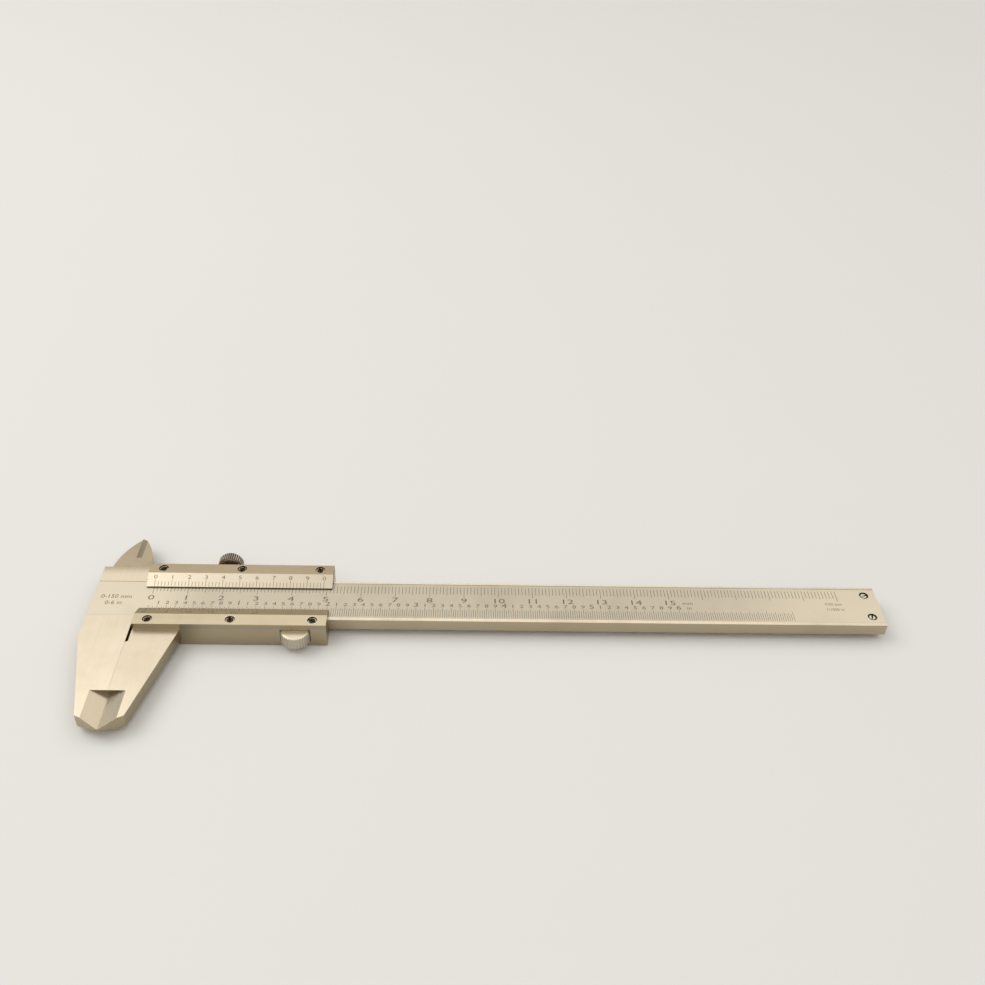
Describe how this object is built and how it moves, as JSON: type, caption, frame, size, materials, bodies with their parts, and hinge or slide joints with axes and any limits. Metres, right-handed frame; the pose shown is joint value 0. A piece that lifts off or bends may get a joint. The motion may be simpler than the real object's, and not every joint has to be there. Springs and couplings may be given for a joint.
{
  "type": "vernier caliper",
  "caption": "Steel vernier caliper with knife-edge outside jaws, inside jaws, a depth rod, a sliding frame with vernier plates, a locking screw and a knurled thumb roller.",
  "frame": {"origin": "middle of the closed caliper's footprint, on the surface it lies on, which its slider's back touches", "axes": "+X along the beam, from the jaws to the end that the depth rod leaves; +Y from the outside jaws' tips to the inside jaws' tips; +Z out of the face with the scales"},
  "size_m": [0.2284, 0.075, 0.0081],
  "materials": {
    "satin_steel": "satin chrome over ground steel, warm grey",
    "bright_plate": "fine brushed satin chrome",
    "dark_screw": "blackened steel, slightly worn",
    "bright_screw": "turned bright steel",
    "spring_bronze": "rolled spring bronze",
    "brass_pad": "turned brass",
    "knurled_steel": "straight knurl, satin plated",
    "ground_steel": "ground bright steel"
  },
  "bodies": {
    "beam": {"beam": "satin_steel", "end_stop_plate": "bright_plate", "end_stop_screw_1": "bright_screw", "end_stop_screw_2": "bright_screw"},
    "slider": {"slider_frame": "satin_steel", "metric_vernier_plate": "bright_plate", "inch_vernier_plate": "bright_plate", "metric_plate_screw_1": "dark_screw", "metric_plate_screw_2": "dark_screw", "metric_plate_screw_3": "dark_screw", "inch_plate_screw_1": "dark_screw", "inch_plate_screw_2": "dark_screw", "inch_plate_screw_3": "dark_screw", "gib_spring": "spring_bronze", "depth_rod": "ground_steel", "depth_rod_screw_1": "dark_screw", "depth_rod_screw_2": "dark_screw", "roller_axle": "bright_screw"},
    "lock_pad": {"lock_pad": "brass_pad"},
    "lock_screw": {"lock_screw": "knurled_steel"},
    "thumb_roller": {"thumb_roller": "knurled_steel"}
  },
  "joints": [
    {"name": "slider_slide", "type": "slide", "parent": "beam", "child": "slider", "axis": [1, 0, 0], "range_m": [0, 0.15]},
    {"name": "thumb_roller_spin", "type": "hinge", "parent": "slider", "child": "thumb_roller", "pos_m": [-0.05496, -0.00266, 0.00395], "axis": [0, 0, 1], "range_deg": [-10, 2080]},
    {"name": "lock_pad_advance", "type": "slide", "parent": "slider", "child": "lock_pad", "axis": [0, 1, 0], "range_m": [-0.00011, 0.001]},
    {"name": "lock_screw_turn", "type": "hinge", "parent": "lock_pad", "child": "lock_screw", "pos_m": [-0.0779, 0.024, 0.00395], "axis": [0, 1, 0], "range_deg": [-80, 725]}
  ],
  "couplings": [
    {"joint": "thumb_roller_spin", "follows": "slider_slide", "rad_per_m": 240.96},
    {"joint": "lock_screw_turn", "follows": "lock_pad_advance", "rad_per_m": 12566}
  ]
}
